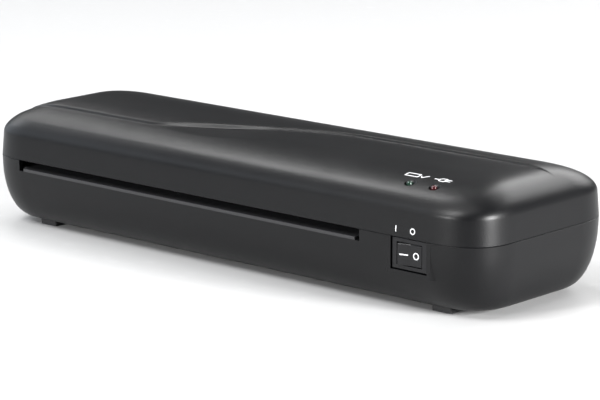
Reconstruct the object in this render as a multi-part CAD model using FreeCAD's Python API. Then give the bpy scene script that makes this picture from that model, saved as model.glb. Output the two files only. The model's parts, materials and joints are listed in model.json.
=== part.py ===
import FreeCAD, Part
import math
import os

from FreeCAD import Vector

os.makedirs("parts", exist_ok=True)

# Pouch laminator. Millimetres. X runs to the right seen from the front, Y to the back, Z up.
# The origin is on the table, under the middle of the body. Pouches go in at the front (-Y).

# ---- overall body ----
body_length = 330.0
body_depth = 108.0
body_height = 63.0
foot_height = 3.0
seam_z = 36.2
wall = 2.4
roof = 3.2
floor = 2.4
seam_bevel = 0.25

# ---- shell curvature: a drafted side, then a quarter ellipse up to the roof or down to the floor ----
corner_reach = 28.0
corner_reach_loss = 0.5
corner_fullness = 0.70
roof_flat_half_depth = 8.3
cover_round_x = 28.5
cover_round_z = 14.7
cover_draft = 0.8
base_round_x = 9.25
base_round_y = 14.25
base_round_z = 27.8
base_draft = 0.15

# ---- S-shaped step across the top ----
step_drop = 1.2
step_spread = 0.5
step_front_y = -28.0
step_rear_y = 13.5
step_start_x = -66.0
step_end_x = 33.0
step_turn_front = 30.0
step_turn_rear = 80.0
step_foot_z = 61.6
step_slant_x = -0.40
step_slant_y = 0.90

# ---- pouch path ----
slot_left = -138.4
slot_right = 94.5
slot_floor = 30.5
lip_thickness = 1.5
lip_side_gap = 3.0
path_z = 34.0
guide_mouth = 8.0
guide_gap_end = 2.2
guide_sheet = 1.4
guide_cover_gap = 1.2

# ---- chassis ----
frame_sheet = 1.5
frame_left_x = -142.5
frame_right_x = 100.0
frame_floor_z = 9.0
frame_end_gap = 10.0
frame_flange = 10.0
frame_foot_half_width = 5.0
frame_post_radius = 3.5
frame_post_front_y = -25.0
frame_post_rear_y = 27.0
tie_rod_radius = 2.5
tie_rod_tail_radius = 1.5
tie_rod_places = ((-34.0, 16.0), (34.0, 22.0), (24.0, 50.5))
shield_thickness = 0.6
shield_front_y = -8.0
shield_back_y = 20.0

# ---- rollers ----
roller_y = 8.0
roller_centres = 20.0
sleeve_radius = 9.85
core_radius = 6.0
journal_radius = 3.0
running_gap = 0.05
sleeve_side_gap = 1.0
core_overhang = 1.6
bush_radius = 5.0
bush_flange_radius = 6.5
clip_radius = 4.8
clip_thickness = 0.8
clip_groove = 0.4

# ---- gears ----
gear_module = 1.0
roller_teeth = 20
pinion_teeth = 16
pressure_angle = 20.0
backlash = 0.16
gear_width = 5.5
gear_x = 105.0
flat_depth = 0.5

# ---- upper bearing blocks and springs ----
block_width = 13.6
block_cheek = 1.2
block_thickness = 7.0
block_top = 49.0
window_gap = 0.2
window_top = 54.5
lift_travel = 1.0
spring_wire = 0.35
spring_radius = 2.3
spring_turns = 4

# ---- heater ----
shoe_front = -32.0
shoe_back = -4.0
shoe_plate = 3.0
shoe_gap = 2.0
shoe_rib = 8.0
shoe_rib_height = 8.0
element_width = 17.0
element_thickness = 2.0
element_end_gap = 12.0
thermostat_radius = 6.0
thermostat_height = 6.0
thermostat_xs = (-70.0, 40.0)
element_rib_gap = 1.5
fuse_x = -16.0
fuse_half_length = 6.0
fuse_lead_reach = 14.0
fuse_radius = 2.0
fuse_lead_radius = 0.5

# ---- motor ----
motor_radius = 21.0
motor_length = 20.0
motor_face_x = 114.0
motor_offset_y = -1.0
motor_offset_z = 5.0
motor_shaft_radius = 2.5
motor_screw_places = ((34.0, 44.0), (36.0, 14.5))
spacer_wall = 1.3
motor_rim = 1.5
motor_plug_length = 9.0
motor_plug_proud = 3.0
motor_plug_half_width = 7.0
motor_plug_height = 5.5
motor_plug_rise = 2.5

# ---- switch ----
switch_x = 124.5
switch_z = 28.45
bezel_width = 21.0
bezel_height = 15.0
bezel_inset = 0.6
bezel_sheet = 1.6
bezel_gap = 0.35
rim_width = 2.0
rim_slant = 3.0
rim_depth = 6.0
housing_width = 19.0
housing_height = 13.0
housing_depth = 14.0
rocker_width = 13.4
rocker_height = 10.4
rocker_tilt = 8.0
rocker_depth = 4.4
rocker_gap_side = 0.9
rocker_gap_end = 0.3
rocker_pivot_depth = 4.4
rocker_pin_radius = 1.2
rocker_pin_length = 0.8
switch_tab_length = 8.0

# ---- indicator lamps ----
lamp_ready_x = 112.7
lamp_power_x = 127.2
lamp_inset = 14.7
lamp_radius = 1.5
lamp_stand_proud = 0.6
lamp_hole_gap = 0.8
lamp_flare_radius = 3.9
lamp_flare_height = 2.56
lamp_flare_sink = 1.6
lamp_body_height = 5.2
board_below_lamp = 10.3
board_thickness = 1.6
board_overhang = 8.0
board_margin_front = 4.0
board_margin_back = 7.0
board_post_radius = 3.0

# ---- feet, screws and cord entry ----
foot_length = 11.5
foot_width = 12.0
foot_end_gap = 32.4
foot_side_gap = 20.4
foot_stud_radius = 3.0
foot_corner = 1.0
case_screw_end_gap = 14.0
case_screw_side_gap = 27.0
case_boss_radius = 4.5
case_boss_top = 34.0
case_screw_seat = 26.0
screw_radius = 1.5
screw_head_radius = 2.8
screw_head_height = 2.0
screw_gap = 0.02
clearance_gap = 0.2
drive_radius = 1.1
drive_depth = 0.9
gland_x = 107.5
gland_z = 24.0
gland_bore = 3.3
gland_radius = 4.5
gland_flange_radius = 6.0
gland_flange = 1.2
gland_inside = 10.8
gland_pad_radius = 7.5

# ---- terminal block and wiring ----
terminal_left_x = 134.5
terminal_right_x = 151.5
terminal_front_y = -10.0
terminal_back_y = 14.0
terminal_height = 12.0
terminal_hole_radius = 2.0
terminal_hole_depth = 4.0
wire_radius = 0.9
wire_end_gap = 0.02
wire_lead_in = 0.2
mains_bend = 2.5
lamp_wire_z = 44.0
lamp_wire_y = -15.0

half_length = body_length / 2
half_depth = body_depth / 2
cover_shoulder_z = body_height - cover_round_z
base_shoulder_z = foot_height + base_round_z
lower_roller_z = path_z - roller_centres / 2
upper_roller_z = path_z + roller_centres / 2
cover_round_y = half_depth - cover_draft - roof_flat_half_depth
cover_slope = cover_draft / (cover_shoulder_z - seam_z)
base_slope = base_draft / (seam_z - base_shoulder_z)
bezel_face_y = bezel_inset - half_depth
rocker_pivot_y = bezel_face_y + rocker_pivot_depth
ellipse_weights = (1.0, math.sqrt(0.5), 1.0)
foot_x = half_length - foot_end_gap
foot_y = half_depth - foot_side_gap
case_screw_x = half_length - case_screw_end_gap
case_screw_y = half_depth - case_screw_side_gap
frame_top_z = window_top + frame_sheet + 1.0
lamp_y = lamp_inset - half_depth
lamp_lean = 1 - (lamp_inset - cover_draft) / cover_round_y
lamp_top_z = cover_shoulder_z + cover_round_z * math.sqrt(1 - lamp_lean ** 2) + lamp_stand_proud
board_z = lamp_top_z - board_below_lamp
board_front = lamp_y - board_margin_front
board_back = lamp_y + board_margin_back
pieces = {}


# ---- plain solids ----
def block(x0, x1, y0, y1, z0, z1):
    return Part.makeBox(x1 - x0, y1 - y0, z1 - z0, Vector(x0, y0, z0))


def rod_x(x0, x1, y, z, radius):
    return Part.makeCylinder(radius, x1 - x0, Vector(x0, y, z), Vector(1, 0, 0))


def rod_y(y0, y1, x, z, radius):
    return Part.makeCylinder(radius, y1 - y0, Vector(x, y0, z), Vector(0, 1, 0))


def rod_z(z0, z1, x, y, radius):
    return Part.makeCylinder(radius, z1 - z0, Vector(x, y, z0), Vector(0, 0, 1))


def plate_x(outline, x0, x1):
    corners = [Vector(x0, y, z) for y, z in outline]
    face = Part.Face(Part.makePolygon(corners + corners[:1]))
    return face.extrude(Vector(x1 - x0, 0, 0))


def joined(first, *others):
    return first.fuse(list(others)).removeSplitter()


def rounded_path(points, radii):
    """Edges along the points, with a tangent arc of the given radius at each inner point."""
    edges = []
    start = points[0]
    for before, corner, after, radius in zip(points, points[1:], points[2:], radii):
        into = (corner - before).normalize()
        out = (after - corner).normalize()
        half_turn = into.getAngle(out) / 2
        reach = radius * math.tan(half_turn)
        first = corner - into * reach
        last = corner + out * reach
        inward = (out - into).normalize()
        middle = corner + inward * (radius / math.cos(half_turn) - radius)
        edges.append(Part.LineSegment(start, first).toShape())
        edges.append(Part.Arc(first, middle, last).toShape())
        start = last
    edges.append(Part.LineSegment(start, points[-1]).toShape())
    return edges


def tube(points, radii, radius):
    path = Part.Wire(rounded_path(points, radii))
    ring = Part.Wire(Part.makeCircle(radius, points[0], points[1] - points[0]))
    return path.makePipeShell([ring], True, False)


# ---- shells: every form is a stack of bands, each made of four sides and four soft corners ----
def level_poles(inset_x, inset_y, z):
    """Poles round the body at height z, eight runs in order: each side, then each corner's curve."""
    half_x = half_length - inset_x
    half_y = half_depth - inset_y
    reach_x = corner_reach - corner_reach_loss * inset_x
    reach_y = corner_reach - corner_reach_loss * inset_y
    runs = []
    for sign_x, sign_y in ((-1, -1), (1, -1), (1, 1), (-1, 1)):
        on_front = Vector(sign_x * (half_x - reach_x), sign_y * half_y, z)
        on_side = Vector(sign_x * half_x, sign_y * (half_y - reach_y), z)
        near_front = on_front + Vector(sign_x * reach_x * corner_fullness, 0, 0)
        near_side = on_side + Vector(0, sign_y * reach_y * corner_fullness, 0)
        poles = [on_front, near_front, near_side, on_side]
        if sign_x * sign_y > 0:
            poles.reverse()
        runs.append(poles)
    sides = [[corner[-1], following[0]] for corner, following in zip(runs, runs[1:] + runs[:1])]
    return [run for pair in zip(runs, sides) for run in pair]


def band_faces(rows, weights):
    """Faces of one band: Bezier surfaces whose rows of poles are the given levels."""
    faces = []
    for columns in zip(*[level_poles(*row) for row in rows]):
        surface = Part.BezierSurface()
        surface.increase(len(columns[0]) - 1, len(rows) - 1)
        for j, poles in enumerate(columns):
            for i, pole in enumerate(poles):
                surface.setPole(i + 1, j + 1, pole, weights[j])
        faces.append(surface.toShape())
    return faces


def level_cap(level):
    edges = []
    for poles in level_poles(*level):
        curve = Part.BezierCurve()
        curve.setPoles(poles)
        edges.append(curve.toShape())
    return Part.Face(Part.Wire(edges))


def form_from_bands(bands):
    """A closed solid from bands stacked on each other, each a list of levels with their weights."""
    faces = [level_cap(bands[0][0][0]), level_cap(bands[-1][0][-1])]
    for rows, weights in bands:
        faces += band_faces(rows, weights)
    shell = Part.Shell(faces)
    shell.sewShape()
    solid = Part.Solid(shell)
    solid.fix(0.001, 0.001, 0.001)
    if solid.Volume < 0:
        solid.reverse()
    return solid


def cover_form(offset, drop, bottom_z, squash=0.0, spread=0.0):
    """Upper shell's form: offset inwards, dropped, with a squashed and spread shoulder."""
    shoulder = cover_shoulder_z - drop
    rise = cover_round_z - squash
    start = offset + cover_draft - spread
    low = start - cover_slope * (shoulder - bottom_z)
    turn = start + cover_slope * rise
    end = offset + cover_draft
    skirt = [(low, low, bottom_z), (start, start, shoulder)]
    top = [(start, start, shoulder), (turn, turn, shoulder + rise),
           (end + cover_round_x, end + cover_round_y, shoulder + rise)]
    return form_from_bands([(skirt, (1.0, 1.0)), (top, ellipse_weights)])


def base_form(offset, lift, top_z):
    """Lower shell's form: offset inwards and lifted off the floor."""
    shoulder = base_shoulder_z + lift
    bottom = shoulder - base_round_z
    start = offset + base_draft
    high = start - base_slope * (top_z - shoulder)
    turn = start + base_slope * base_round_z
    low = [(start + base_round_x, start + base_round_y, bottom), (turn, turn, bottom),
           (start, start, shoulder)]
    skirt = [(start, start, shoulder), (high, high, top_z)]
    return form_from_bands([(low, ellipse_weights), (skirt, (1.0, 1.0))])


def bevel_form(low_inset, high_inset, low_z, high_z):
    rows = [(low_inset, low_inset, low_z), (high_inset, high_inset, high_z)]
    return form_from_bands([(rows, (1.0, 1.0))])


def step_cutter():
    """Everything in front of the S-shaped line and above the lower roof."""
    far = body_length
    line = [Vector(-far, step_front_y, 0), Vector(step_start_x, step_front_y, 0),
            Vector(step_end_x, step_rear_y, 0), Vector(far, step_rear_y, 0)]
    edges = rounded_path(line, (step_turn_front, step_turn_rear))
    corner_right = Vector(far, -body_depth, 0)
    corner_left = Vector(-far, -body_depth, 0)
    edges.append(Part.LineSegment(line[-1], corner_right).toShape())
    edges.append(Part.LineSegment(corner_right, corner_left).toShape())
    edges.append(Part.LineSegment(corner_left, line[0]).toShape())
    below = step_foot_z - cover_shoulder_z
    slant = Vector(step_slant_x, step_slant_y, 1)
    region = Part.Face(Part.Wire(edges))
    region.translate(Vector(0, 0, step_foot_z) - slant * below)
    region = region.extrude(slant * (2 * below))
    lower_roof = cover_form(0, 0, cover_shoulder_z - 2.0, step_drop, step_spread)
    return region.cut(lower_roof)


def make_top_cover():
    edge = cover_slope * seam_bevel
    skin = cover_form(0, 0, seam_z + seam_bevel)
    skin = skin.fuse(bevel_form(edge + seam_bevel, edge, seam_z, seam_z + seam_bevel))
    skin = skin.cut(step_cutter())
    cavity = cover_form(wall, roof, seam_z - 1.0)
    shell = skin.cut(cavity)
    posts = []
    for x, y in case_screw_spots():
        posts.append(rod_z(case_boss_top, body_height, x, y, case_boss_radius - 0.5))
    for x in board_screw_spots():
        posts.append(rod_z(board_z + board_thickness, body_height, x, board_screw_y(), board_post_radius))
    for post in posts:
        shell = shell.fuse(post.common(skin.fuse(cavity_below_seam())))
    for x, y in case_screw_spots():
        shell = shell.cut(rod_z(case_boss_top - 1, case_boss_top + 13, x, y, screw_radius + screw_gap))
    for x in board_screw_spots():
        hole = rod_z(board_z, board_z + board_thickness + 5.5, x, board_screw_y(), screw_radius + screw_gap)
        shell = shell.cut(hole)
    for x in (lamp_ready_x, lamp_power_x):
        hole = rod_z(board_z, body_height, x, lamp_y, lamp_radius + lamp_hole_gap)
        flare_z = lamp_top_z - lamp_stand_proud - lamp_flare_sink
        flare = Part.makeCone(lamp_radius + lamp_hole_gap, lamp_flare_radius, lamp_flare_height,
                              Vector(x, lamp_y, flare_z), Vector(0, 0, 1))
        shell = shell.cut(hole).cut(flare)
    return shell


def cavity_below_seam():
    return bevel_form(wall + 0.5, wall + 0.5, case_boss_top - 0.5, seam_z + 1.0)


def case_screw_spots():
    return [(sx * case_screw_x, sy * case_screw_y) for sx in (-1, 1) for sy in (-1, 1)]


def board_screw_spots():
    middle_gap = board_overhang - 2.5
    return (lamp_ready_x - middle_gap, lamp_power_x + middle_gap)


def board_screw_y():
    return (board_front + board_back) / 2 + 1.0


def frame_post_spots():
    inward = frame_flange / 2 + 0.5
    return [(x, y) for x in (frame_left_x + inward, frame_right_x - inward)
            for y in (frame_post_front_y, frame_post_rear_y)]


def foot_spots():
    names = {("front", "left"): (-1, -1), ("front", "right"): (1, -1),
             ("rear", "left"): (-1, 1), ("rear", "right"): (1, 1)}
    return {"foot_" + row + "_" + side: (sx * foot_x, sy * foot_y)
            for (row, side), (sx, sy) in names.items()}


def switch_surround():
    """A flat rim round the switch whose slanted flanks run out into the curved front."""
    half_x = bezel_width / 2 + bezel_gap + rim_width
    bottom = switch_z - bezel_height / 2 - bezel_gap - rim_width
    front = -half_depth
    side = [(half_x, front), (half_x + rim_slant, front + rim_slant), (half_x + rim_slant, front + rim_depth)]
    plan = side + [(-x, y) for x, y in reversed(side)]
    corners = [Vector(switch_x + x, y, bottom) for x, y in plan]
    face = Part.Face(Part.makePolygon(corners + corners[:1]))
    return face.extrude(Vector(0, 0, seam_z - seam_bevel - bottom))


def make_base_shell():
    skin = base_form(0, 0, seam_z - seam_bevel)
    edge = base_slope * seam_bevel
    skin = skin.fuse(bevel_form(edge, edge + seam_bevel, seam_z - seam_bevel, seam_z))
    surround = switch_surround()
    pad = rod_y(half_depth - 6.0, half_depth, gland_x, gland_z, gland_pad_radius)
    skin = skin.fuse([surround, pad]).removeSplitter()
    cavity = base_form(wall, floor, seam_z + 1.0)
    keep = surround.fuse(pad)
    shell = skin.cut(cavity.cut(keep))
    additions = []
    for x, y in case_screw_spots():
        additions.append(rod_z(foot_height + 1.0, case_boss_top, x, y, case_boss_radius))
    for x, y in frame_post_spots():
        additions.append(rod_z(foot_height + 1.0, frame_floor_z, x, y, frame_post_radius))
    for post in additions:
        shell = shell.fuse(post.common(skin))
    for x, y in case_screw_spots():
        shell = shell.cut(rod_z(0, case_screw_seat, x, y, screw_head_radius + 0.5))
        shell = shell.cut(rod_z(0, seam_z, x, y, screw_radius + clearance_gap))
    for x, y in frame_post_spots():
        shell = shell.cut(rod_z(frame_floor_z - 4.0, frame_floor_z + 1, x, y, screw_radius + screw_gap))
    for x, y in foot_spots().values():
        shell = shell.cut(rod_z(0, foot_height + floor + 1, x, y, foot_stud_radius + screw_gap))
    shell = shell.cut(block(slot_left, slot_right, -half_depth - 1, -half_depth + 10, slot_floor, seam_z + 1))
    shell = shell.cut(block(slot_left, slot_right, half_depth - 10, half_depth + 1, slot_floor, seam_z + 1))
    half_bezel = bezel_width / 2 + bezel_gap
    bezel_bottom = switch_z - bezel_height / 2 - bezel_gap
    shell = shell.cut(block(switch_x - half_bezel, switch_x + half_bezel, -half_depth - 1,
                            bezel_face_y + bezel_sheet, bezel_bottom, seam_z + 1))
    shell = shell.cut(block(switch_x - housing_width / 2 - 0.1, switch_x + housing_width / 2 + 0.1,
                            -half_depth - 1, -half_depth + 8, switch_z - housing_height / 2 - 0.1,
                            switch_z + housing_height / 2 + 0.1))
    shell = shell.cut(rod_y(half_depth - 8, half_depth + 1, gland_x, gland_z, gland_radius))
    return shell


# ---- pouch guides: the same pair of ramps at the entry and, turned round, at the exit ----
def guide_outline(side, lower, reach):
    """Cross-section in Y and Z of one guide sheet; side is -1 at the entry and 1 at the exit."""
    mouth_y = side * (half_depth - 0.2)
    flat_end = side * (half_depth - guide_mouth)
    inner_y = reach
    if lower:
        mouth_top = slot_floor + lip_thickness
        inner_top = path_z - guide_gap_end / 2
        return [(mouth_y, slot_floor), (mouth_y, mouth_top), (flat_end, mouth_top), (inner_y, inner_top),
                (inner_y, inner_top - guide_sheet), (flat_end, slot_floor)]
    shelf_y = side * (half_depth - wall - guide_cover_gap)
    mouth_low = seam_z
    inner_low = path_z + guide_gap_end / 2
    return [(shelf_y, mouth_low), (shelf_y, mouth_low + guide_sheet), (flat_end, mouth_low + guide_sheet),
            (inner_y, inner_low + guide_sheet), (inner_y, inner_low), (flat_end, mouth_low)]


def make_guide(side, lower, reach):
    x0 = frame_left_x
    x1 = frame_right_x
    sheet = plate_x(guide_outline(side, lower, reach), x0, x1)
    if lower:
        lip_y = side * (half_depth - wall - 1.0)
        edge = sorted((lip_y, side * (half_depth + 1)))
        left = block(x0 - 1, slot_left + lip_side_gap, edge[0], edge[1], slot_floor - 1, seam_z)
        right = block(slot_right - lip_side_gap, x1 + 1, edge[0], edge[1], slot_floor - 1, seam_z)
        sheet = sheet.cut([left, right])
    return sheet


# ---- chassis ----
def frame_outline():
    front = frame_end_gap - half_depth
    back = half_depth - frame_end_gap - 2.0
    return [(front + 6, frame_floor_z), (back - 4, frame_floor_z), (back, 20), (back, 44),
            (shield_back_y, frame_top_z), (shield_front_y, frame_top_z),
            (front + 14, 50), (front, 44), (front, 20)]


def make_side_frame(x0, inward):
    """A bent steel side with two feet turned inwards, a bush hole and a window for the sprung block."""
    x1 = x0 + frame_sheet
    middle = (x0 + x1) / 2
    sheet = plate_x(frame_outline(), x0, x1)
    half_window = block_width / 2 + window_gap
    window_bottom = block_bottom() - running_gap
    sheet = sheet.cut(block(x0 - 1, x1 + 1, roller_y - half_window, roller_y + half_window,
                            window_bottom, window_top))
    sheet = sheet.cut(rod_x(x0 - 1, x1 + 1, roller_y, lower_roller_z, bush_radius))
    lug = block(middle - block_thickness / 2, middle + block_thickness / 2, roller_y - 5, roller_y + 5,
                window_top, window_top + frame_sheet)
    feet = []
    for y in (frame_post_front_y, frame_post_rear_y):
        edge = sorted((middle, middle + inward * (frame_flange + frame_sheet / 2)))
        feet.append(block(edge[0], edge[1], y - frame_foot_half_width, y + frame_foot_half_width,
                          frame_floor_z, frame_floor_z + frame_sheet))
    sheet = joined(sheet, lug, *feet)
    for x, y in frame_post_spots():
        sheet = sheet.cut(rod_z(frame_floor_z - 1, frame_floor_z + 3, x, y, screw_radius + clearance_gap))
    for y, z in tie_rod_places:
        sheet = sheet.cut(rod_x(x0 - 1, x1 + 1, y, z, tie_rod_tail_radius))
    screw_places = shoe_screw_places()
    if inward < 0:
        screw_places += motor_screw_places
    for y, z in screw_places:
        sheet = sheet.cut(rod_x(x0 - 1, x1 + 1, y, z, screw_radius + clearance_gap))
    return sheet


def make_tie_rods():
    rods = []
    for y, z in tie_rod_places:
        rod = rod_x(frame_left_x, frame_right_x, y, z, tie_rod_radius)
        tail = rod_x(frame_left_x - frame_sheet, frame_right_x + frame_sheet, y, z, tie_rod_tail_radius)
        rods.append(joined(rod, tail))
    return Part.makeCompound(rods)


def make_heat_shield():
    x0 = frame_left_x - frame_sheet
    x1 = frame_right_x + frame_sheet
    return block(x0, x1, shield_front_y, shield_back_y, frame_top_z, frame_top_z + shield_thickness)


# ---- heater ----
def shoe_screw_places():
    y = shoe_front + shoe_rib / 2
    reach = shoe_gap / 2 + shoe_plate + shoe_rib_height / 2
    return ((y, path_z - reach), (y, path_z + reach))


def make_heater_shoe(up):
    near = path_z + up * shoe_gap / 2
    far = near + up * shoe_plate
    rib_end = far + up * shoe_rib_height
    z0, z1 = sorted((near, far))
    plate = block(frame_left_x, frame_right_x, shoe_front, shoe_back, z0, z1)
    z0, z1 = sorted((far, rib_end))
    rib = block(frame_left_x, frame_right_x, shoe_front, shoe_front + shoe_rib, z0, z1)
    shoe = joined(plate, rib)
    y, z = shoe_screw_places()[0 if up < 0 else 1]
    for x0 in (frame_left_x - 1, frame_right_x - 9):
        shoe = shoe.cut(rod_x(x0, x0 + 10, y, z, screw_radius + screw_gap))
    return shoe


def make_heating_element(up):
    near = path_z + up * (shoe_gap / 2 + shoe_plate)
    z0, z1 = sorted((near, near + up * element_thickness))
    x0 = frame_left_x + element_end_gap
    x1 = frame_right_x - element_end_gap
    return block(x0, x1, element_front(), element_front() + element_width, z0, z1)


def element_front():
    return shoe_front + shoe_rib + element_rib_gap


def make_thermostats():
    z0 = path_z + shoe_gap / 2 + shoe_plate + element_thickness
    y = element_front() + element_width / 2
    discs = []
    for x in thermostat_xs:
        can = rod_z(z0, z0 + thermostat_height, x, y, thermostat_radius)
        tabs = [block(x + s * 4 - 1.5, x + s * 4 + 1.5, y - 0.4, y + 0.4, z0 + 5, z0 + 12) for s in (-1, 1)]
        discs.append(joined(can, *tabs))
    return Part.makeCompound(discs)


def make_thermal_fuse():
    z = path_z + shoe_gap / 2 + shoe_plate + element_thickness + fuse_radius
    y = element_front() + element_width / 2
    return joined(rod_x(fuse_x - fuse_half_length, fuse_x + fuse_half_length, y, z, fuse_radius),
                  rod_x(fuse_x - fuse_lead_reach, fuse_x + fuse_lead_reach, y, z, fuse_lead_radius))


# ---- rollers ----
def sleeve_ends():
    return slot_left + sleeve_side_gap, slot_right - sleeve_side_gap


def make_roller_shaft(z):
    s0, s1 = sleeve_ends()
    left_end = frame_left_x - frame_sheet - 5.0
    right_end = gear_x + gear_width + 2.0
    core = rod_x(s0 - core_overhang, s1 + core_overhang, roller_y, z, core_radius)
    journal = rod_x(left_end, right_end, roller_y, z, journal_radius)
    shaft = joined(core, journal)
    flat = block(gear_x - 0.3, right_end + 1, roller_y - 5, roller_y + 5,
                 z + journal_radius - flat_depth, z + journal_radius + 1)
    shaft = shaft.cut(flat)
    for x in clip_places():
        groove = rod_x(x, x + clip_thickness, roller_y, z, journal_radius + 1)
        groove = groove.cut(rod_x(x, x + clip_thickness, roller_y, z, journal_radius - clip_groove))
        shaft = shaft.cut(groove)
    return shaft


def clip_places():
    return (frame_left_x - frame_sheet - 4.0, gear_x + gear_width + 0.4)


def make_clips(z):
    clips = []
    for x in clip_places():
        ring = rod_x(x, x + clip_thickness, roller_y, z, clip_radius)
        ring = ring.cut(rod_x(x, x + clip_thickness, roller_y, z, journal_radius - clip_groove))
        gap = block(x - 1, x + clip_thickness + 1, roller_y - 1.2, roller_y + 1.2, z - 8, z)
        clips.append(ring.cut(gap))
    return Part.makeCompound(clips)


def make_sleeve(z):
    s0, s1 = sleeve_ends()
    sleeve = rod_x(s0, s1, roller_y, z, sleeve_radius).cut(rod_x(s0, s1, roller_y, z, core_radius))
    return sleeve


def make_roller_bushes():
    bushes = []
    left_out = frame_left_x - frame_sheet - 2.0
    right_out = frame_right_x + frame_sheet + 2.0
    for x0, x1, f0 in ((left_out, frame_left_x + 1.0, frame_left_x),
                       (frame_right_x - 1.0, right_out, frame_right_x - 1.0)):
        bush = joined(rod_x(x0, x1, roller_y, lower_roller_z, bush_radius),
                      rod_x(f0, f0 + 1.0, roller_y, lower_roller_z, bush_flange_radius))
        bushes.append(bush.cut(rod_x(x0 - 1, x1 + 1, roller_y, lower_roller_z, journal_radius + running_gap)))
    return Part.makeCompound(bushes)


def block_bottom():
    return upper_roller_z - 6.0


def make_bearing_block(x0):
    """A plastic block that slides in the side frame's window, with cheeks on both faces of the sheet."""
    middle = x0 + frame_sheet / 2
    half_web = frame_sheet / 2 + window_gap
    z0 = block_bottom()
    half = block_thickness / 2
    web = block(middle - half, middle + half, roller_y - block_width / 2, roller_y + block_width / 2,
                z0, block_top)
    cheeks = []
    for side in (-1, 1):
        edge = sorted((middle + side * half_web, middle + side * half))
        cheeks.append(block(edge[0], edge[1], roller_y - block_width / 2 - block_cheek,
                            roller_y + block_width / 2 + block_cheek, z0, block_top))
    body = joined(web, *cheeks)
    return body.cut(rod_x(middle - half - 1, middle + half + 1, roller_y, upper_roller_z,
                          journal_radius + running_gap))


def make_spring(x0):
    middle = x0 + frame_sheet / 2
    height = window_top - block_top - 2 * spring_wire
    helix = Part.makeHelix(height / spring_turns, height, spring_radius)
    ring = Part.Wire(Part.makeCircle(spring_wire, Vector(spring_radius, 0, 0), Vector(0, 1, 0)))
    coil = Part.Wire(helix.Edges).makePipeShell([ring], True, True)
    coil.translate(Vector(middle, roller_y, block_top + spring_wire))
    return coil


# ---- gears ----
def involute(base, radius):
    """Polar angle that an involute from the base circle has reached at this radius."""
    if radius <= base:
        return 0.0
    roll = math.sqrt((radius / base) ** 2 - 1)
    return roll - math.atan(roll)


def make_gear(teeth, x0, y, z, first_tooth, bore):
    pitch = gear_module * teeth / 2
    base = pitch * math.cos(math.radians(pressure_angle))
    tip = pitch + 0.95 * gear_module
    root = pitch - 1.2 * gear_module
    half_tooth = (math.pi * gear_module / 2 - backlash) / (2 * pitch) + involute(base, pitch)
    low = max(base, root)

    def spot(radius, angle):
        return Vector(x0, y + radius * math.cos(angle), z + radius * math.sin(angle))

    edges = []
    step = 2 * math.pi / teeth
    radii = [low + (tip - low) * k / 4 for k in range(5)]
    for tooth in range(teeth):
        centre = math.radians(first_tooth) + tooth * step
        rising = [spot(r, centre - half_tooth + involute(base, r)) for r in radii]
        falling = [spot(r, centre + half_tooth - involute(base, r)) for r in reversed(radii)]
        foot_in = spot(root, centre - half_tooth)
        foot_out = spot(root, centre + half_tooth)
        next_foot = spot(root, centre + step - half_tooth)
        for flank in (rising, falling):
            curve = Part.BSplineCurve()
            curve.interpolate(flank)
            if flank is rising:
                edges.append(Part.LineSegment(foot_in, flank[0]).toShape())
                edges.append(curve.toShape())
                edges.append(Part.Arc(flank[-1], spot(tip, centre), falling[0]).toShape())
            else:
                edges.append(curve.toShape())
                edges.append(Part.LineSegment(flank[-1], foot_out).toShape())
        edges.append(Part.Arc(foot_out, spot(root, centre + step / 2), next_foot).toShape())
    gear = Part.Face(Part.Wire(edges)).extrude(Vector(gear_width, 0, 0))
    recess = rod_x(x0 - 1, x0 + 1.2, y, z, root - 1.6).cut(rod_x(x0 - 1, x0 + 1.2, y, z, bore + 1.6))
    return gear.cut(recess).cut(keyed_bore(x0 - 1, x0 + gear_width + 1, y, z, bore))


def keyed_bore(x0, x1, y, z, radius):
    flat = block(x0 - 1, x1 + 1, y - 2 * radius, y + 2 * radius, z + radius - flat_depth, z + 2 * radius)
    return rod_x(x0, x1, y, z, radius).cut(flat)


def pinion_y():
    return roller_y + gear_module * (roller_teeth + pinion_teeth) / 2


# ---- motor ----
def make_motor():
    y = pinion_y() + motor_offset_y
    z = lower_roller_z + motor_offset_z
    x1 = motor_face_x + motor_length
    can = rod_x(motor_face_x, x1, y, z, motor_radius)
    can = can.makeFillet(motor_rim, [edge for edge in can.Edges if edge.BoundBox.XMin > x1 - 0.01])
    plug_end = x1 + motor_plug_proud
    plug_low = z - motor_radius + motor_plug_rise
    plug = block(plug_end - motor_plug_length, plug_end, y - motor_plug_half_width, y + motor_plug_half_width,
                 plug_low, plug_low + motor_plug_height)
    can = joined(can, plug)
    for sy, sz in motor_screw_places:
        can = can.cut(rod_x(motor_face_x - 1, motor_face_x + 6, sy, sz, screw_radius + screw_gap))
    bore = motor_shaft_radius + running_gap
    return can.cut(rod_x(motor_face_x - 1, motor_face_x + 8, pinion_y(), lower_roller_z, bore))


def make_motor_spacers():
    spacers = []
    for y, z in motor_screw_places:
        bore = screw_radius + clearance_gap
        sleeve = rod_x(frame_right_x + frame_sheet, motor_face_x, y, z, screw_radius + spacer_wall)
        spacers.append(sleeve.cut(rod_x(frame_right_x, motor_face_x + 1, y, z, bore)))
    return Part.makeCompound(spacers)


def make_screw(place, direction, length):
    """A pan-head screw whose head stands on place and whose shank runs along direction."""
    top = place - direction * screw_head_height
    head = Part.makeCylinder(screw_head_radius, screw_head_height, top, direction)
    shank = Part.makeCylinder(screw_radius, length, place, direction)
    drive = Part.makeCylinder(drive_radius, drive_depth, top, direction)
    return joined(head, shank).cut(drive)


def make_motor_screws():
    reach = motor_face_x - frame_right_x + 5.0
    return Part.makeCompound([make_screw(Vector(frame_right_x, y, z), Vector(1, 0, 0), reach)
                              for y, z in motor_screw_places])


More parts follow.
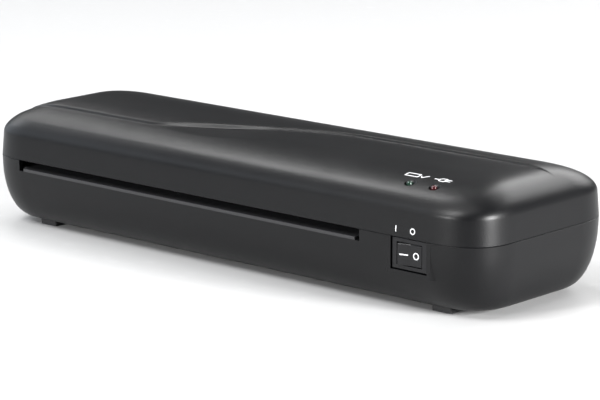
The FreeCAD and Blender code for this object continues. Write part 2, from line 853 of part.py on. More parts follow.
def make_motor_shaft():
    end = motor_face_x + 7.0
    shaft = rod_x(gear_x - 0.5, end, pinion_y(), lower_roller_z, motor_shaft_radius)
    z = lower_roller_z + motor_shaft_radius - flat_depth
    flat = block(gear_x - 1, gear_x + gear_width, pinion_y() - 4, pinion_y() + 4, z, z + 3)
    return shaft.cut(flat)


# ---- switch ----
def make_switch_body():
    half_z = bezel_height / 2
    bezel = block(switch_x - bezel_width / 2, switch_x + bezel_width / 2, bezel_face_y,
                  bezel_face_y + bezel_sheet, switch_z - half_z, switch_z + half_z)
    edges = [edge for edge in bezel.Edges if edge.BoundBox.YMax < bezel_face_y + 0.01]
    bezel = bezel.makeFillet(0.5, edges)
    back = bezel_face_y + housing_depth
    housing = block(switch_x - housing_width / 2, switch_x + housing_width / 2,
                    bezel_face_y + bezel_sheet / 2, back,
                    switch_z - housing_height / 2, switch_z + housing_height / 2)
    half_x = rocker_width / 2 + rocker_gap_side
    half_z = rocker_height / 2 + rocker_gap_end
    well = block(switch_x - half_x, switch_x + half_x, bezel_face_y - 1, rocker_pivot_y + 3.2,
                 switch_z - half_z, switch_z + half_z)
    pin = rocker_height / 2 + rocker_pin_length + 0.1
    holes = rod_z(switch_z - pin, switch_z + pin, switch_x, rocker_pivot_y, rocker_pin_radius + running_gap)
    return joined(bezel, housing).cut([well, holes])


def make_switch_rocker():
    """A rocker with a shallow V face; turned so that its right half lies level with the bezel."""
    half = rocker_width / 2
    rise = half * math.tan(math.radians(rocker_tilt))
    front = -rocker_depth
    outline = [(-half, front - rise), (0, front), (half, front - rise), (half, front + 1.8),
               (half - 2.2, 1.6), (-half + 2.2, 1.6), (-half, front + 1.8)]
    z0 = switch_z - rocker_height / 2
    corners = [Vector(switch_x + x, rocker_pivot_y + y, z0) for x, y in outline]
    body = Part.Face(Part.makePolygon(corners + corners[:1])).extrude(Vector(0, 0, rocker_height))
    soft = []
    for edge in body.Edges:
        box = edge.BoundBox
        if box.YMax < rocker_pivot_y + front + 0.01 and (box.ZLength < 0.01 or box.XLength < 0.01):
            if abs(box.Center.x - switch_x) > 1.0:
                soft.append(edge)
    body = body.makeFillet(0.4, soft)
    reach = rocker_height / 2 + rocker_pin_length
    pin = rod_z(switch_z - reach, switch_z + reach, switch_x, rocker_pivot_y, rocker_pin_radius)
    rocker = joined(body, pin)
    rocker.rotate(Vector(switch_x, rocker_pivot_y, switch_z), Vector(0, 0, 1), rocker_tilt)
    return rocker


def make_switch_terminals():
    back = bezel_face_y + housing_depth
    tabs = []
    for x in (switch_x - 5.0, switch_x + 5.0):
        tabs.append(block(x - 0.4, x + 0.4, back, back + switch_tab_length, switch_z - 2.4, switch_z + 2.4))
    return Part.makeCompound(tabs)


# ---- indicator lamps ----
def make_lamp(x):
    centre_z = lamp_top_z - lamp_radius
    base_z = lamp_top_z - lamp_body_height
    dome = Part.makeSphere(lamp_radius, Vector(x, lamp_y, centre_z))
    stem = rod_z(base_z, centre_z, x, lamp_y, lamp_radius)
    legs = [rod_z(board_z + board_thickness, base_z + 0.5, x + s * 0.9, lamp_y, 0.3) for s in (-1, 1)]
    return joined(dome, stem, *legs)


def make_lamp_board():
    board = block(lamp_ready_x - board_overhang, lamp_power_x + board_overhang, board_front, board_back,
                  board_z, board_z + board_thickness)
    for x in board_screw_spots():
        hole = rod_z(board_z - 1, board_z + 3, x, board_screw_y(), screw_radius + clearance_gap)
        board = board.cut(hole)
    return board


# ---- feet, case screws, cord entry, wiring ----
def make_foot(x, y):
    pad = block(x - foot_length / 2, x + foot_length / 2, y - foot_width / 2, y + foot_width / 2,
                0, foot_height)
    upright = [edge for edge in pad.Edges if edge.BoundBox.ZLength > foot_height - 0.01]
    pad = pad.makeFillet(foot_corner, upright)
    return joined(pad, rod_z(foot_height / 2, foot_height + floor - 0.4, x, y, foot_stud_radius))


def make_cord_gland():
    y0 = half_depth - gland_inside
    gland = joined(rod_y(y0, half_depth + gland_flange, gland_x, gland_z, gland_radius),
                   rod_y(half_depth, half_depth + gland_flange, gland_x, gland_z, gland_flange_radius))
    return gland.cut(rod_y(y0 - 1, half_depth + gland_flange + 1, gland_x, gland_z, gland_bore))


def make_terminal_block():
    z0 = foot_height + floor
    top = z0 + terminal_height
    body = block(terminal_left_x, terminal_right_x, terminal_front_y, terminal_back_y, z0, top)
    for x in (terminal_left_x + 4.5, terminal_right_x - 3.5):
        for y in (terminal_front_y + 6, terminal_back_y - 6):
            body = body.cut(rod_z(top - terminal_hole_depth, top + 1, x, y, terminal_hole_radius))
    return body


def make_wire_pair(routes, bend):
    return Part.makeCompound([tube([Vector(*p) for p in route], [bend] * (len(route) - 2), wire_radius)
                              for route in routes])


def mains_routes(bend):
    """From the cord gland down behind the motor's spacer, along the floor and under the motor."""
    y_start = half_depth - gland_inside - wire_end_gap
    y_drop = y_start - bend - wire_lead_in
    low = foot_height + floor + 2.0
    routes = []
    for side, x_end in ((0, terminal_left_x + 2.2), (1, terminal_left_x + 5.2)):
        x = gland_x - 1.2 + 2.4 * side
        y_run = y_drop - 2 * bend - 3.2 + 3.0 * side
        routes.append([(x, y_start, gland_z), (x, y_drop, gland_z), (x, y_drop, low), (x, y_run, low),
                       (x_end, y_run, low), (x_end, terminal_back_y + wire_end_gap, low)])
    return routes


def switch_routes():
    back = bezel_face_y + housing_depth + switch_tab_length + wire_end_gap
    low = foot_height + floor + 6.0
    routes = []
    for x, x_end, drop_y in ((switch_x - 5.0, terminal_left_x + 3.0, -24.0),
                             (switch_x + 5.0, terminal_left_x + 8.0, -21.0)):
        routes.append([(x, back, switch_z), (x, drop_y, switch_z), (x, drop_y, low), (x_end, drop_y, low),
                       (x_end, terminal_front_y - wire_end_gap, low)])
    return routes


def lamp_routes():
    top = foot_height + floor + terminal_height
    y0 = board_back - 3.0
    routes = []
    for dx in (-1.2, 1.2):
        x0 = (lamp_ready_x + lamp_power_x) / 2 + dx
        x1 = terminal_left_x + 9.0 + dx
        y1 = (terminal_front_y + terminal_back_y) / 2 + 1.5 * dx
        routes.append([(x0, y0, board_z - wire_end_gap), (x0, y0, lamp_wire_z),
                       (x0, lamp_wire_y, lamp_wire_z), (x1, lamp_wire_y, lamp_wire_z),
                       (x1, y1, lamp_wire_z), (x1, y1, top + wire_end_gap)])
    return routes


def motor_routes():
    x0 = motor_face_x + motor_length + motor_plug_proud + wire_end_gap
    z0 = lower_roller_z + motor_offset_z - motor_radius + motor_plug_rise + motor_plug_height / 2
    routes = []
    for dy in (-2.5, 2.5):
        y0 = pinion_y() + motor_offset_y + dy
        x1 = terminal_left_x + 11.0 - dy
        routes.append([(x0, y0, z0), (x1, y0, z0), (x1, terminal_back_y + wire_end_gap, z0)])
    return routes


# ---- every piece in its own node ----
pieces["top_cover"] = make_top_cover()
pieces["base_shell"] = make_base_shell()
pieces["entry_guide_lower"] = make_guide(-1, True, shoe_front - 0.6)
pieces["entry_guide_upper"] = make_guide(-1, False, shoe_front - 0.6)
pieces["exit_guide_lower"] = make_guide(1, True, roller_y + sleeve_radius + 0.8)
pieces["exit_guide_upper"] = make_guide(1, False, roller_y + sleeve_radius + 0.8)
pieces["side_frame_left"] = make_side_frame(frame_left_x - frame_sheet, 1)
pieces["side_frame_right"] = make_side_frame(frame_right_x, -1)
pieces["tie_rods"] = make_tie_rods()
pieces["heat_shield"] = make_heat_shield()
pieces["heater_shoe_lower"] = make_heater_shoe(-1)
pieces["heater_shoe_upper"] = make_heater_shoe(1)
pieces["heating_element_lower"] = make_heating_element(-1)
pieces["heating_element_upper"] = make_heating_element(1)
pieces["thermostats"] = make_thermostats()
pieces["thermal_fuse"] = make_thermal_fuse()
pieces["shoe_screws"] = Part.makeCompound(
    [make_screw(Vector(x, y, z), Vector(turn, 0, 0), 8.0)
     for x, turn in ((frame_left_x - frame_sheet, 1), (frame_right_x + frame_sheet, -1))
     for y, z in shoe_screw_places()])

upper_phase = 270.0 + 180.0 / roller_teeth
for side, z, phase in (("lower", lower_roller_z, 90.0), ("upper", upper_roller_z, upper_phase)):
    pieces[side + "_shaft"] = make_roller_shaft(z)
    pieces[side + "_sleeve"] = make_sleeve(z)
    pieces[side + "_gear"] = make_gear(roller_teeth, gear_x, roller_y, z, phase, journal_radius)
    pieces[side + "_clips"] = make_clips(z)

pieces["roller_bushes"] = make_roller_bushes()
for side, x in (("left", frame_left_x - frame_sheet), ("right", frame_right_x)):
    pieces["bearing_block_" + side] = make_bearing_block(x)
    pieces["spring_" + side] = make_spring(x)

pieces["motor"] = make_motor()
pieces["motor_spacers"] = make_motor_spacers()
pieces["motor_screws"] = make_motor_screws()
pieces["motor_shaft"] = make_motor_shaft()
pieces["motor_pinion"] = make_gear(pinion_teeth, gear_x, pinion_y(), lower_roller_z,
                                   180.0 + 180.0 / pinion_teeth, motor_shaft_radius)
pieces["switch_body"] = make_switch_body()
pieces["switch_rocker"] = make_switch_rocker()
pieces["switch_terminals"] = make_switch_terminals()
pieces["led_ready"] = make_lamp(lamp_ready_x)
pieces["led_power"] = make_lamp(lamp_power_x)
pieces["led_board"] = make_lamp_board()
pieces["led_board_screws"] = Part.makeCompound(
    [make_screw(Vector(x, board_screw_y(), board_z), Vector(0, 0, 1), 6.0) for x in board_screw_spots()])
pieces["frame_screws"] = Part.makeCompound(
    [make_screw(Vector(x, y, frame_floor_z + frame_sheet), Vector(0, 0, -1), 5.0)
     for x, y in frame_post_spots()])
pieces["case_screws"] = Part.makeCompound(
    [make_screw(Vector(x, y, case_screw_seat), Vector(0, 0, 1), 18.0) for x, y in case_screw_spots()])
for name, (x, y) in foot_spots().items():
    pieces[name] = make_foot(x, y)
pieces["cord_gland"] = make_cord_gland()
pieces["terminal_block"] = make_terminal_block()
pieces["mains_wires"] = make_wire_pair(mains_routes(mains_bend), mains_bend)
pieces["switch_wires"] = make_wire_pair(switch_routes(), 1.5)
pieces["led_wires"] = make_wire_pair(lamp_routes(), 2.5)
pieces["motor_wires"] = make_wire_pair(motor_routes(), 2.0)

for name, shape in pieces.items():
    solids = shape.Solids
    sound = all(solid.isValid() and solid.Volume > 0 for solid in solids)
    volume = round(sum(solid.Volume for solid in solids), 1)
    print(name, len(solids), "solid(s)", volume, "mm3", "ok" if sound else "NOT VALID")
    shape.exportStep("parts/" + name + ".step")
print(len(pieces), "nodes")
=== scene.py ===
# %% [markdown]
# # Pouch laminator: the looks around a fixed frame
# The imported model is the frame: every metal and plastic part already stands where it belongs.
# This script gives each part its finish and rebuilds the one surface that needs softer modelling.

# %% The frame
import json
import math

import bpy
import numpy as np
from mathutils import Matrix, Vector


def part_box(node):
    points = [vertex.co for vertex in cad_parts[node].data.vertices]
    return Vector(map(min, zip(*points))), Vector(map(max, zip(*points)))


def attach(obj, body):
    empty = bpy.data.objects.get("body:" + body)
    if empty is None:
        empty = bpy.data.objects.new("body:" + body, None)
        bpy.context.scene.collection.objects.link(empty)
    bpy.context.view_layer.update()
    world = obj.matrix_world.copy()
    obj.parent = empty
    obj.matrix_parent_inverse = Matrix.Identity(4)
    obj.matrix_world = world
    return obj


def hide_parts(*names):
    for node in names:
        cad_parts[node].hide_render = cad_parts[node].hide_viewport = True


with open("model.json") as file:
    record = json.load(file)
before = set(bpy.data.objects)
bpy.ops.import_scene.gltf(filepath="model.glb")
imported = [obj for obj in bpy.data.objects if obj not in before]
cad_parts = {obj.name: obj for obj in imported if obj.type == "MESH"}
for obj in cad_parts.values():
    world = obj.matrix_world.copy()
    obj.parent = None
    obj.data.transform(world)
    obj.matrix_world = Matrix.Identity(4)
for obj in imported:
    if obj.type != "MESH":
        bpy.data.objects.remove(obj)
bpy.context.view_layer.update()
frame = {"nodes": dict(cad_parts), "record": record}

MM = 0.001
print("nodes in the frame:", len(frame["nodes"]))


# %% [markdown]
# ## Camera
# A product picture of a long, low machine is taken with a long lens from well above the table, so
# that the far end shrinks only a little. The camera stands on a circle round the machine: an
# azimuth, an elevation and a distance say where, in the same words that a photographer would use.

# %% Camera
camera_azimuth = math.radians(41.78)
camera_elevation = math.radians(12.78)
camera_distance = 1.4167
camera_target = Vector((0.0093, 0.0, 0.0281))
sensor_width = 36.0
lens = 169.8


def add_camera():
    """A camera on a sphere round its target, looking at the target."""
    back = Vector((math.sin(camera_azimuth) * math.cos(camera_elevation),
                   -math.cos(camera_azimuth) * math.cos(camera_elevation),
                   math.sin(camera_elevation)))
    data = bpy.data.cameras.new("studio_camera")
    data.sensor_width = sensor_width
    data.lens = lens
    camera = bpy.data.objects.new("studio_camera", data)
    camera.location = camera_target + back * camera_distance
    camera.rotation_euler = back.to_track_quat("Z", "Y").to_euler()
    bpy.context.scene.collection.objects.link(camera)
    bpy.context.scene.camera = camera
    return camera


camera = add_camera()
print("camera at", [round(v, 3) for v in camera.location])


# %% [markdown]
# ## Studio
# Black plastic has almost no colour of its own. What shows its shape is the reflection of soft
# lights, so each light is placed for the stripe or patch that it leaves on the shell. A reflection
# is found by turning the line of sight round the surface's normal: the front shoulder looks back at
# the upper left, the right shoulder looks at what stands behind the machine, and the two upright
# corners in front look at the horizon. The rest of the room stays dark, as in a photographer's
# studio, and a light overhead whitens the table.

# %% Lights, surround and table
table_size = 6.0


def direction_to(azimuth, elevation):
    """Unit vector: azimuth in degrees from the front towards the right, elevation from the table up."""
    turn = math.radians(azimuth)
    rise = math.radians(elevation)
    return Vector((math.sin(turn) * math.cos(rise), -math.cos(turn) * math.cos(rise), math.sin(rise)))


def add_softbox(name, azimuth, elevation, distance, width, height, glow, aim=(0.03, 0.0, 0.04),
                colour=(1.0, 1.0, 1.0)):
    """A rectangular light seen from aim in the given direction, width by height metres.

    Its power is glow times pi times its area, so that glow is how bright its face looks.
    """
    data = bpy.data.lights.new(name, "AREA")
    data.shape = "RECTANGLE"
    data.size = width
    data.size_y = height
    data.energy = glow * math.pi * width * height
    data.color = colour
    light = bpy.data.objects.new(name, data)
    away = direction_to(azimuth, elevation)
    light.location = Vector(aim) + away * distance
    light.rotation_euler = away.to_track_quat("Z", "Y").to_euler()
    bpy.context.scene.collection.objects.link(light)
    return light


def add_surround(strength):
    """An even dim surround on every side."""
    world = bpy.data.worlds.new("studio_surround")
    bpy.context.scene.world = world
    world.use_nodes = True
    background = world.node_tree.nodes["Background"]
    background.inputs["Color"].default_value = (0.95, 0.97, 1.0, 1.0)
    background.inputs["Strength"].default_value = strength


def add_table():
    """One large flat square."""
    half = table_size / 2
    mesh = bpy.data.meshes.new("table")
    corners = [(-half, -half, 0.0), (half, -half, 0.0), (half, half, 0.0), (-half, half, 0.0)]
    mesh.from_pydata(corners, [], [(0, 1, 2, 3)])
    table = bpy.data.objects.new("table", mesh)
    bpy.context.scene.collection.objects.link(table)
    return table


bpy.context.scene.view_settings.view_transform = "Standard"
add_surround(0.08)
add_softbox("overhead", -20, 80, 1.5, 1.5, 1.0, 1.8)
add_softbox("front_overhead_for_step", -14, 50, 1.4, 0.44, 0.70, 18.0)
add_softbox("upper_left_for_front_shoulder", -116, 48, 1.6, 0.40, 0.36, 12.0)
add_softbox("below_it_for_soft_edge", -108, 27, 1.6, 0.80, 0.30, 3.0)
add_softbox("left_side", -76, 20, 1.9, 2.0, 1.3, 1.7, colour=(0.84, 0.91, 1.0))
add_softbox("rear_for_right_shoulder", 187, 32, 1.8, 1.3, 0.78, 6.6, aim=(0.14, 0.0, 0.04))
add_softbox("right_lamp", 96, 14, 1.5, 0.34, 0.44, 140.0, aim=(0.16, -0.04, 0.045))
add_softbox("front_lamp", -16, 15, 1.5, 0.16, 0.30, 90.0, aim=(0.145, -0.05, 0.045))
table = add_table()


# %% [markdown]
# ## Effects shared by several finishes
# Moulded plastic carries the spark-eroded texture of its mould, turned and drawn metal carries fine
# streaks, and everything carries a little unevenness. Each effect is one node group with named
# sockets, built once and used by many materials with their own values. The alternative, copying
# nodes into each material, drifts apart as soon as one copy is changed.

# %% Node group helpers
def new_group(name, inputs, outputs):
    """An empty shader group with the given named sockets: (name, kind, default)."""
    group = bpy.data.node_groups.new(name, "ShaderNodeTree")
    for socket, kind, value in inputs:
        item = group.interface.new_socket(name=socket, in_out="INPUT", socket_type=kind)
        if value is not None:
            item.default_value = value
    for socket, kind in outputs:
        group.interface.new_socket(name=socket, in_out="OUTPUT", socket_type=kind)
    return group, group.nodes.new("NodeGroupInput"), group.nodes.new("NodeGroupOutput")


def add_noise(group, vector, scale, detail, roughness=0.5):
    """A noise texture that reads vector."""
    node = group.nodes.new("ShaderNodeTexNoise")
    node.inputs["Scale"].default_value = scale
    node.inputs["Detail"].default_value = detail
    node.inputs["Roughness"].default_value = roughness
    group.links.new(vector, node.inputs["Vector"])
    return node.outputs["Fac"]


def add_math(group, operation, first, second):
    """One arithmetic node; each operand is a socket or a number."""
    node = group.nodes.new("ShaderNodeMath")
    node.operation = operation
    for place, value in enumerate((first, second)):
        if isinstance(value, (int, float)):
            node.inputs[place].default_value = value
        else:
            group.links.new(value, node.inputs[place])
    return node.outputs["Value"]


def add_range(group, value, low, high, to_low, to_high):
    """Maps value from one range to another."""
    node = group.nodes.new("ShaderNodeMapRange")
    group.links.new(value, node.inputs["Value"])
    for socket, number in (("From Min", low), ("From Max", high), ("To Min", to_low), ("To Max", to_high)):
        node.inputs[socket].default_value = number
    return node.outputs["Result"]


# %% Spark-eroded grain
def make_grain_group():
    """Grain of an eroded mould: small rounded pits, a finer noise over them and sparse bright facets.

    Height is the pits plus a third of the fine noise; Tone is a mask for slightly paler spots;
    Gloss is a roughness that wanders round its middle value.
    """
    group, source, result = new_group(
        "spark_grain",
        [("Vector", "NodeSocketVector", None), ("Grain", "NodeSocketFloat", 1600.0),
         ("Roughness", "NodeSocketFloat", 0.45), ("Spread", "NodeSocketFloat", 0.10)],
        [("Height", "NodeSocketFloat"), ("Gloss", "NodeSocketFloat"), ("Tone", "NodeSocketFloat")])
    links = group.links
    pits = group.nodes.new("ShaderNodeTexVoronoi")
    pits.feature = "SMOOTH_F1"
    pits.inputs["Smoothness"].default_value = 0.6
    links.new(source.outputs["Vector"], pits.inputs["Vector"])
    links.new(source.outputs["Grain"], pits.inputs["Scale"])
    fine = group.nodes.new("ShaderNodeTexNoise")
    fine.inputs["Detail"].default_value = 3.0
    links.new(source.outputs["Vector"], fine.inputs["Vector"])
    links.new(add_math(group, "MULTIPLY", source.outputs["Grain"], 2.3), fine.inputs["Scale"])
    third = add_math(group, "MULTIPLY", fine.outputs["Fac"], 0.35)
    links.new(add_math(group, "ADD", pits.outputs["Distance"], third), result.inputs["Height"])
    broad = add_noise(group, source.outputs["Vector"], 14.0, 2.0)
    centred = add_math(group, "SUBTRACT", broad, 0.5)
    wander = add_math(group, "MULTIPLY", centred, source.outputs["Spread"])
    speck = add_range(group, fine.outputs["Fac"], 0.35, 0.65, -0.5, 0.5)
    speck = add_math(group, "MULTIPLY", speck, source.outputs["Spread"])
    total = add_math(group, "ADD", add_math(group, "ADD", source.outputs["Roughness"], wander), speck)
    links.new(total, result.inputs["Gloss"])
    links.new(add_range(group, fine.outputs["Fac"], 0.58, 0.72, 0.0, 1.0), result.inputs["Tone"])
    return group


# %% Streaks of drawn or turned metal
def make_streak_group():
    """Noise squeezed across one direction, so that it reads as fine parallel lines."""
    group, source, result = new_group(
        "drawn_streaks",
        [("Vector", "NodeSocketVector", None), ("Along", "NodeSocketVector", (40.0, 2500.0, 2500.0)),
         ("Roughness", "NodeSocketFloat", 0.35), ("Spread", "NodeSocketFloat", 0.15)],
        [("Height", "NodeSocketFloat"), ("Gloss", "NodeSocketFloat"), ("Tone", "NodeSocketFloat")])
    links = group.links
    squeeze = group.nodes.new("ShaderNodeVectorMath")
    squeeze.operation = "MULTIPLY"
    links.new(source.outputs["Vector"], squeeze.inputs[0])
    links.new(source.outputs["Along"], squeeze.inputs[1])
    lines = add_noise(group, squeeze.outputs["Vector"], 1.0, 3.0, 0.6)
    patches = add_noise(group, source.outputs["Vector"], 60.0, 2.0)
    links.new(lines, result.inputs["Height"])
    wander = add_math(group, "MULTIPLY", add_math(group, "SUBTRACT", lines, 0.5), source.outputs["Spread"])
    links.new(add_math(group, "ADD", source.outputs["Roughness"], wander), result.inputs["Gloss"])
    links.new(patches, result.inputs["Tone"])
    return group


grain_group = make_grain_group()
streak_group = make_streak_group()
print("effects:", grain_group.name, streak_group.name)


# %% [markdown]
# ## Finishes
# One small builder makes every finish: it drops a group in, mixes two close colours with its Tone,
# feeds its Gloss to the roughness and its Height to a bump. What differs is written in a table of
# finishes, in the words of the people who would order them.

# %% Builder for a finish
def make_finish(name, group, colour, pale, roughness, spread, bump, depth, grain=None, **fixed):
    """A Principled material: colour and pale mixed by Tone, roughness from Gloss, bump from Height."""
    material = bpy.data.materials.new(name)
    material.use_nodes = True
    tree = material.node_tree
    shader = tree.nodes["Principled BSDF"]
    place = tree.nodes.new("ShaderNodeTexCoord")
    effect = tree.nodes.new("ShaderNodeGroup")
    effect.node_tree = group
    tree.links.new(place.outputs["Object"], effect.inputs["Vector"])
    effect.inputs["Roughness"].default_value = roughness
    effect.inputs["Spread"].default_value = spread
    if grain is not None:
        effect.inputs["Along" if group is streak_group else "Grain"].default_value = grain
    mix = tree.nodes.new("ShaderNodeMix")
    mix.data_type = "RGBA"
    mix.inputs["A"].default_value = (*colour, 1.0)
    mix.inputs["B"].default_value = (*pale, 1.0)
    tree.links.new(effect.outputs["Tone"], mix.inputs["Factor"])
    tree.links.new(mix.outputs["Result"], shader.inputs["Base Color"])
    tree.links.new(effect.outputs["Gloss"], shader.inputs["Roughness"])
    relief = tree.nodes.new("ShaderNodeBump")
    relief.inputs["Strength"].default_value = bump
    relief.inputs["Distance"].default_value = depth
    tree.links.new(effect.outputs["Height"], relief.inputs["Height"])
    tree.links.new(relief.outputs["Normal"], shader.inputs["Normal"])
    for socket, value in fixed.items():
        shader.inputs[socket.replace("_", " ")].default_value = value
    return material


# %% The finishes, one per slot of the record
ALONG_X = (40.0, 2500.0, 2500.0)
ROUND_X = (2500.0, 40.0, 40.0)
finishes = {
    "black_abs": make_finish("black_abs", grain_group, (0.0026, 0.0027, 0.0032), (0.0080, 0.0080, 0.0092),
                             0.36, 0.12, 0.25, 0.00010, grain=2100.0, Specular_IOR_Level=0.25),
    "black_switch": make_finish("black_switch", grain_group, (0.006, 0.006, 0.007), (0.011, 0.011, 0.013),
                                0.34, 0.06, 0.10, 0.00005, grain=2600.0, Specular_IOR_Level=0.30),
    "guide_plastic": make_finish("guide_plastic", grain_group, (0.020, 0.020, 0.022), (0.034, 0.034, 0.037),
                                 0.40, 0.08, 0.10, 0.00005, grain=1500.0),
    "frame_steel": make_finish("frame_steel", streak_group, (0.55, 0.56, 0.57), (0.68, 0.69, 0.70),
                               0.38, 0.18, 0.10, 0.00003, grain=ALONG_X, Metallic=1.0),
    "bright_steel": make_finish("bright_steel", streak_group, (0.62, 0.62, 0.63), (0.74, 0.74, 0.75),
                                0.24, 0.16, 0.12, 0.00002, grain=ROUND_X, Metallic=1.0),
    "shoe_aluminium": make_finish("shoe_aluminium", streak_group, (0.72, 0.73, 0.74), (0.82, 0.82, 0.83),
                                  0.34, 0.20, 0.12, 0.00003, grain=ALONG_X, Metallic=1.0),
    "element_ceramic": make_finish("element_ceramic", grain_group, (0.74, 0.71, 0.64), (0.84, 0.82, 0.77),
                                   0.62, 0.10, 0.15, 0.00008, grain=900.0),
    "white_plastic": make_finish("white_plastic", grain_group, (0.74, 0.73, 0.69), (0.82, 0.81, 0.77),
                                 0.42, 0.08, 0.06, 0.00005, grain=1400.0),
    "gear_plastic": make_finish("gear_plastic", grain_group, (0.80, 0.79, 0.73), (0.87, 0.86, 0.81),
                                0.36, 0.08, 0.05, 0.00004, grain=1200.0, Subsurface_Weight=0.05),
    "silicone": make_finish("silicone", grain_group, (0.46, 0.115, 0.065), (0.53, 0.15, 0.09),
                            0.55, 0.10, 0.08, 0.00005, grain=1800.0),
    "foot_rubber": make_finish("foot_rubber", grain_group, (0.018, 0.018, 0.019), (0.034, 0.034, 0.036),
                               0.72, 0.12, 0.22, 0.00010, grain=1300.0),
    "screw_steel": make_finish("screw_steel", streak_group, (0.50, 0.50, 0.51), (0.64, 0.64, 0.66),
                               0.36, 0.20, 0.10, 0.00002, grain=(1500.0, 1500.0, 60.0), Metallic=1.0),
    "spring_steel": make_finish("spring_steel", streak_group, (0.55, 0.55, 0.57), (0.68, 0.68, 0.70),
                                0.26, 0.14, 0.08, 0.00001, grain=(1500.0, 1500.0, 60.0), Metallic=1.0),
    "brass_tab": make_finish("brass_tab", streak_group, (0.72, 0.53, 0.22), (0.80, 0.63, 0.33),
                             0.32, 0.18, 0.08, 0.00002, grain=(60.0, 60.0, 1500.0), Metallic=1.0),
    "green_lens": make_finish("green_lens", grain_group, (0.004, 0.030, 0.016), (0.006, 0.044, 0.024),
                              0.08, 0.03, 0.02, 0.00002, grain=700.0, Transmission_Weight=0.35, IOR=1.52),
    "red_lens": make_finish("red_lens", grain_group, (0.055, 0.006, 0.009), (0.075, 0.010, 0.014),
                            0.08, 0.03, 0.02, 0.00002, grain=700.0, Transmission_Weight=0.35, IOR=1.52),
    "circuit_board": make_finish("circuit_board", grain_group, (0.020, 0.125, 0.055), (0.040, 0.180, 0.090),
                                 0.30, 0.08, 0.08, 0.00005, grain=500.0),
    "wire_cover": make_finish("wire_cover", grain_group, (0.30, 0.32, 0.35), (0.40, 0.42, 0.45),
                              0.48, 0.08, 0.05, 0.00004, grain=900.0),
}


def dress_frame():
    """Every node gets the finish of its slot."""
    slots = {part["node"]: part["material_slot"] for part in frame["record"]["subparts"]}
    for node, thing in frame["nodes"].items():
        thing.data.materials.clear()
        thing.data.materials.append(finishes[slots[node]])
    return slots


slots = dress_frame()
print("finishes:", len(finishes), "on", len(slots), "nodes")


# %% [markdown]
# ## The cover
# The upper shell is the face of the machine: a drafted skirt, a soft shoulder and a flat roof, with
# an S-shaped step that drops the front half and a flat scoop in front of the step's slant. It could
# be cut from solids, but a cut leaves the step as one hard facet, and the real one is a rolled slope.
# So the surface is worked out as numbers. Every level of the shell is an outline with four soft
# corners. The skirt and the lower shoulder are a ring of such outlines, and the top inside the ring
# is a height over the plan, on a grid whose rows follow the S, so that the slope stays crisp.

# %% Levels of the shell
half_x, half_y = 0.165, 0.054
seam_height, seam_bevel = 0.0362, 0.00025
shoulder_height = 0.0483
round_x, round_y, round_z = 0.0285, 0.0449, 0.0147
draft = 0.0008
corner_reach, corner_loss, corner_full = 0.028, 0.5, 0.70
cover_wall, cover_roof = 0.0024, 0.0032
side_slope = draft / (shoulder_height - seam_height)


def shoulder_level(v, inset=0.0):
    """Insets in x and y and the height of the shoulder at v, from 0 on the skirt to 1 on the roof.

    A conic with weights 1, root half, 1 through three levels: a quarter ellipse that leaves the
    drafted skirt smoothly and arrives level at the roof. Inset moves the whole level inwards.
    """
    v = np.asarray(v, float)
    a, b, c = (1 - v) ** 2, math.sqrt(0.5) * 2 * v * (1 - v), v ** 2
    total = a + b + c
    turn = draft + side_slope * round_z
    inset_x = (a * draft + b * turn + c * (draft + round_x)) / total + inset
    inset_y = (a * draft + b * turn + c * (draft + round_y)) / total + inset
    return inset_x, inset_y, shoulder_height + round_z * (b + c) / total


def corner_point(tau, inset_x, inset_y):
    """A point of a level's corner: a cubic Bezier from the long side (tau 0) to the end (tau 1)."""
    reach_x = corner_reach - corner_loss * inset_x
    reach_y = corner_reach - corner_loss * inset_y
    a, b, c, d = (1 - tau) ** 3, 3 * tau * (1 - tau) ** 2, 3 * tau ** 2 * (1 - tau), tau ** 3
    x = half_x - inset_x - reach_x * (1 - (b * corner_full + c + d))
    y = half_y - inset_y - reach_y * (1 - (a + b + c * corner_full))
    return x, y


# %% Height over the plan
halvings = 24


def half_width_at(x, inset_x, inset_y):
    """Half the depth of a level's outline at x, by halving the corner's tau until its x agrees."""
    low, high = np.zeros_like(x), np.ones_like(x)
    for _ in range(halvings):
        middle = (low + high) / 2
        beyond = corner_point(middle, inset_x, inset_y)[0] > x
        high = np.where(beyond, middle, high)
        low = np.where(beyond, low, middle)
    flat = x <= half_x - inset_x - (corner_reach - corner_loss * inset_x)
    return np.where(flat, half_y - inset_y, corner_point((low + high) / 2, inset_x, inset_y)[1])


def level_at(x, y, inset):
    """The v of the level whose outline passes through each x, y: 1 anywhere on the flat roof.

    Halving again: a point is inside a level while its |y| is under the half width there.
    """
    x, y = np.abs(x), np.abs(y)
    low, high = np.zeros_like(x), np.ones_like(x)
    for _ in range(halvings):
        middle = (low + high) / 2
        inset_x, inset_y, _height = shoulder_level(middle, inset)
        inside = (x <= half_x - inset_x) & (y <= half_width_at(x, inset_x, inset_y))
        low = np.where(inside, middle, low)
        high = np.where(inside, high, middle)
    return (low + high) / 2


# %% The S-shaped step and its scoop
step_drop = 0.00125
step_width = 0.0016
step_level_low = 0.36
step_end_fade = (0.138, 0.158)
foot_points = ((-0.170, -0.0280), (-0.075, -0.0280), (-0.066, -0.0278), (-0.0612, -0.0264),
               (-0.0417, -0.0172), (-0.0142, -0.0039), (0.0009, 0.0027), (0.0160, 0.0087),
               (0.0265, 0.0121), (0.0347, 0.0138), (0.0480, 0.0146), (0.0700, 0.0149), (0.1700, 0.0150))
scoop_points = ((-0.170, -0.0280), (-0.066, -0.0280), (-0.056, -0.0287), (-0.047, -0.0300),
                (-0.029, -0.0305), (-0.0206, -0.0288), (0.0009, -0.0203), (0.030, -0.0100), (0.1700, 0.0150))
scoop_rise = 0.028
scoop_fade = (-0.010, 0.030)
scoop_start = (-0.066, -0.056)
scoop_edge = 0.00012


